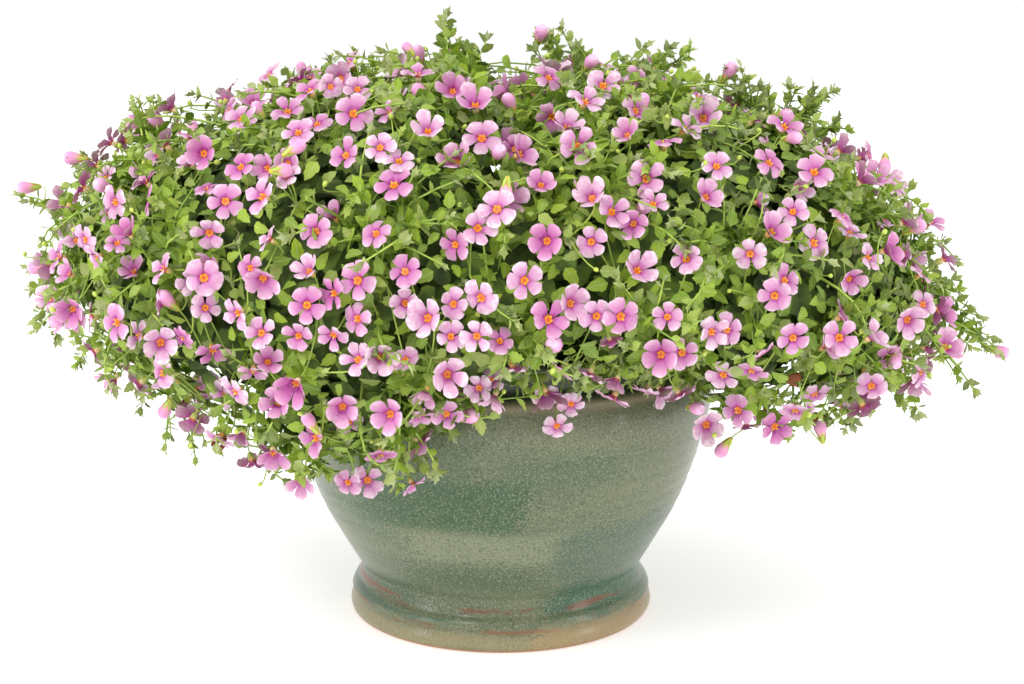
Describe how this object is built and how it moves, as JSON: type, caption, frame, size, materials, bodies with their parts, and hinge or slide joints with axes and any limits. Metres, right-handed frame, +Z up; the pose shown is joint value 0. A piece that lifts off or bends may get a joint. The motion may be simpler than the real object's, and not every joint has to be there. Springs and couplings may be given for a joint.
{
  "type": "potted bacopa",
  "caption": "Potted flowering bacopa: a glazed stoneware pot filled with potting mix, under a wide trailing dome of leafy shoots with small five-petalled blooms.",
  "frame": {"origin": "centre of the pot's flat underside", "axes": "+Z up out of the pot, +X to the right of the front view, -Y towards the viewer"},
  "size_m": [0.5438, 0.432, 0.3336],
  "materials": {
    "glaze": "mottled sage and sea-green stoneware glaze, breaking to tan on the ridges",
    "potting_mix": "dark crumbly potting mix",
    "foliage": "small toothed green leaves and yellow-green stems",
    "petals": "thin lilac-pink petals with a magenta halo and an orange throat"
  },
  "bodies": {
    "root": {"pot": "glaze", "potting_mix": "potting_mix", "shoot_01": "foliage", "shoot_02": "foliage", "shoot_03": "foliage", "shoot_04": "foliage", "shoot_05": "foliage", "shoot_06": "foliage", "shoot_07": "foliage", "shoot_08": "foliage", "shoot_09": "foliage", "shoot_10": "foliage", "shoot_11": "foliage", "shoot_12": "foliage", "shoot_13": "foliage", "shoot_14": "foliage", "shoot_15": "foliage", "shoot_16": "foliage", "shoot_17": "foliage", "shoot_18": "foliage", "shoot_19": "foliage", "shoot_20": "foliage", "shoot_21": "foliage", "shoot_22": "foliage", "shoot_23": "foliage", "shoot_24": "foliage", "shoot_25": "foliage", "shoot_26": "foliage", "shoot_27": "foliage", "shoot_28": "foliage", "shoot_29": "foliage", "shoot_30": "foliage", "shoot_31": "foliage", "shoot_32": "foliage", "shoot_33": "foliage", "shoot_34": "foliage", "shoot_35": "foliage", "shoot_36": "foliage", "shoot_37": "foliage", "shoot_38": "foliage", "shoot_39": "foliage", "shoot_40": "foliage"}
  },
  "joints": []
}
